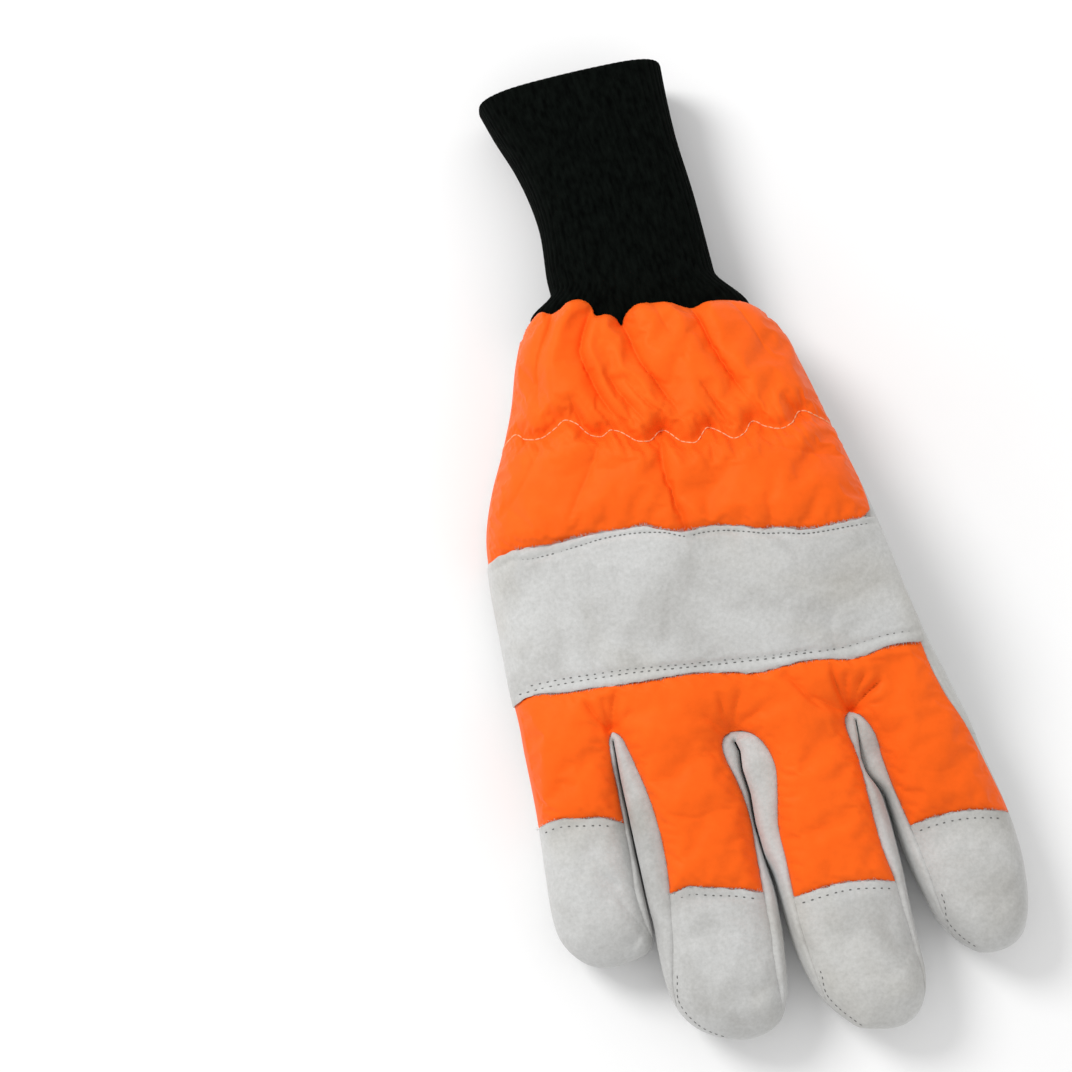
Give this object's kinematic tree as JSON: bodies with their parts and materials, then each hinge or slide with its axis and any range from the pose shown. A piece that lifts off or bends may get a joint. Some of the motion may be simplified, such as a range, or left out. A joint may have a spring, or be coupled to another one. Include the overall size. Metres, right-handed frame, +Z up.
{
  "type": "padded work glove",
  "caption": "Right-hand padded work glove with knitted cuff, gathered wrist, leather strap, palm, fingertip caps and a thumb folded under the palm.",
  "frame": {"origin": "on the surface that the glove lies on, under the middle of its bounding box", "axes": "+Y from the fingers to the cuff, +X to the index finger's side, +Z up from the palm side to the back"},
  "size_m": [0.1296, 0.2834, 0.0437],
  "materials": {
    "knit": "fine rib knit, near black",
    "cloth": "smooth padded weave, orange",
    "leather": "split leather with a soft nap, light grey"
  },
  "bodies": {
    "root": {"knit_cuff": "knit", "wrist_panel": "cloth", "knuckle_strap": "leather", "back_panel": "cloth", "little_tip_cap": "leather", "ring_tip_cap": "leather", "middle_tip_cap": "leather", "index_tip_cap": "leather", "little_ring_fork": "leather", "ring_middle_fork": "leather", "middle_index_fork": "leather", "palm": "leather", "thumb": "leather"}
  },
  "joints": []
}
